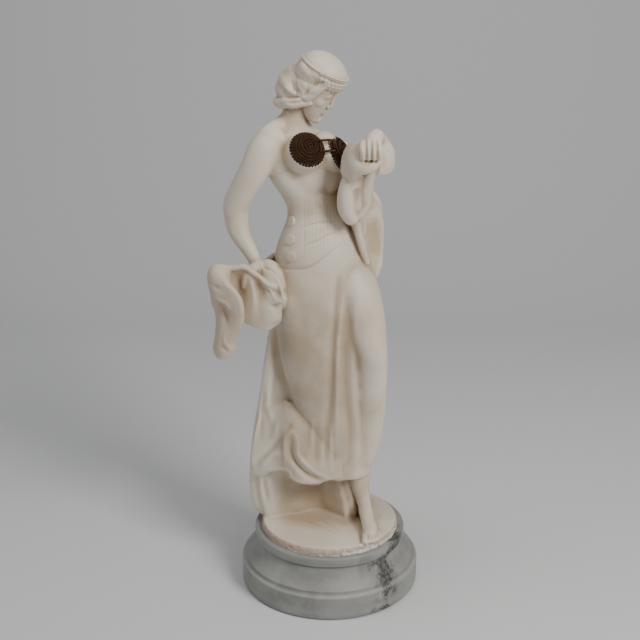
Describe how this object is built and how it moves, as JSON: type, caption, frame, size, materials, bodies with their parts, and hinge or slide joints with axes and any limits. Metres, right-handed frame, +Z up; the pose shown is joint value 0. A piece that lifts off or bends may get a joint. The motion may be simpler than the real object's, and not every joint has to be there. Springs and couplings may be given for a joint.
{
  "type": "carved stone figurine on turned plinth",
  "caption": "Carved alabaster dancer in a cap, gathered skirt and long veil, with a bronze breast ornament, standing on a round turned stone plinth.",
  "frame": {"origin": "middle of the plinth's round underside", "axes": "+Z up along the plinth's turning axis, -Y towards the viewer's front of the figure, +X to the viewer's right"},
  "size_m": [0.2294, 0.2028, 0.5998],
  "materials": {
    "alabaster": "softly polished, warm cream",
    "bronze": "dark brown patina",
    "grey_alabaster": "polished, grey with a dark vein"
  },
  "bodies": {
    "root": {"dancer_figure": "alabaster", "bronze_ornament": "bronze", "plinth": "grey_alabaster"}
  },
  "joints": []
}
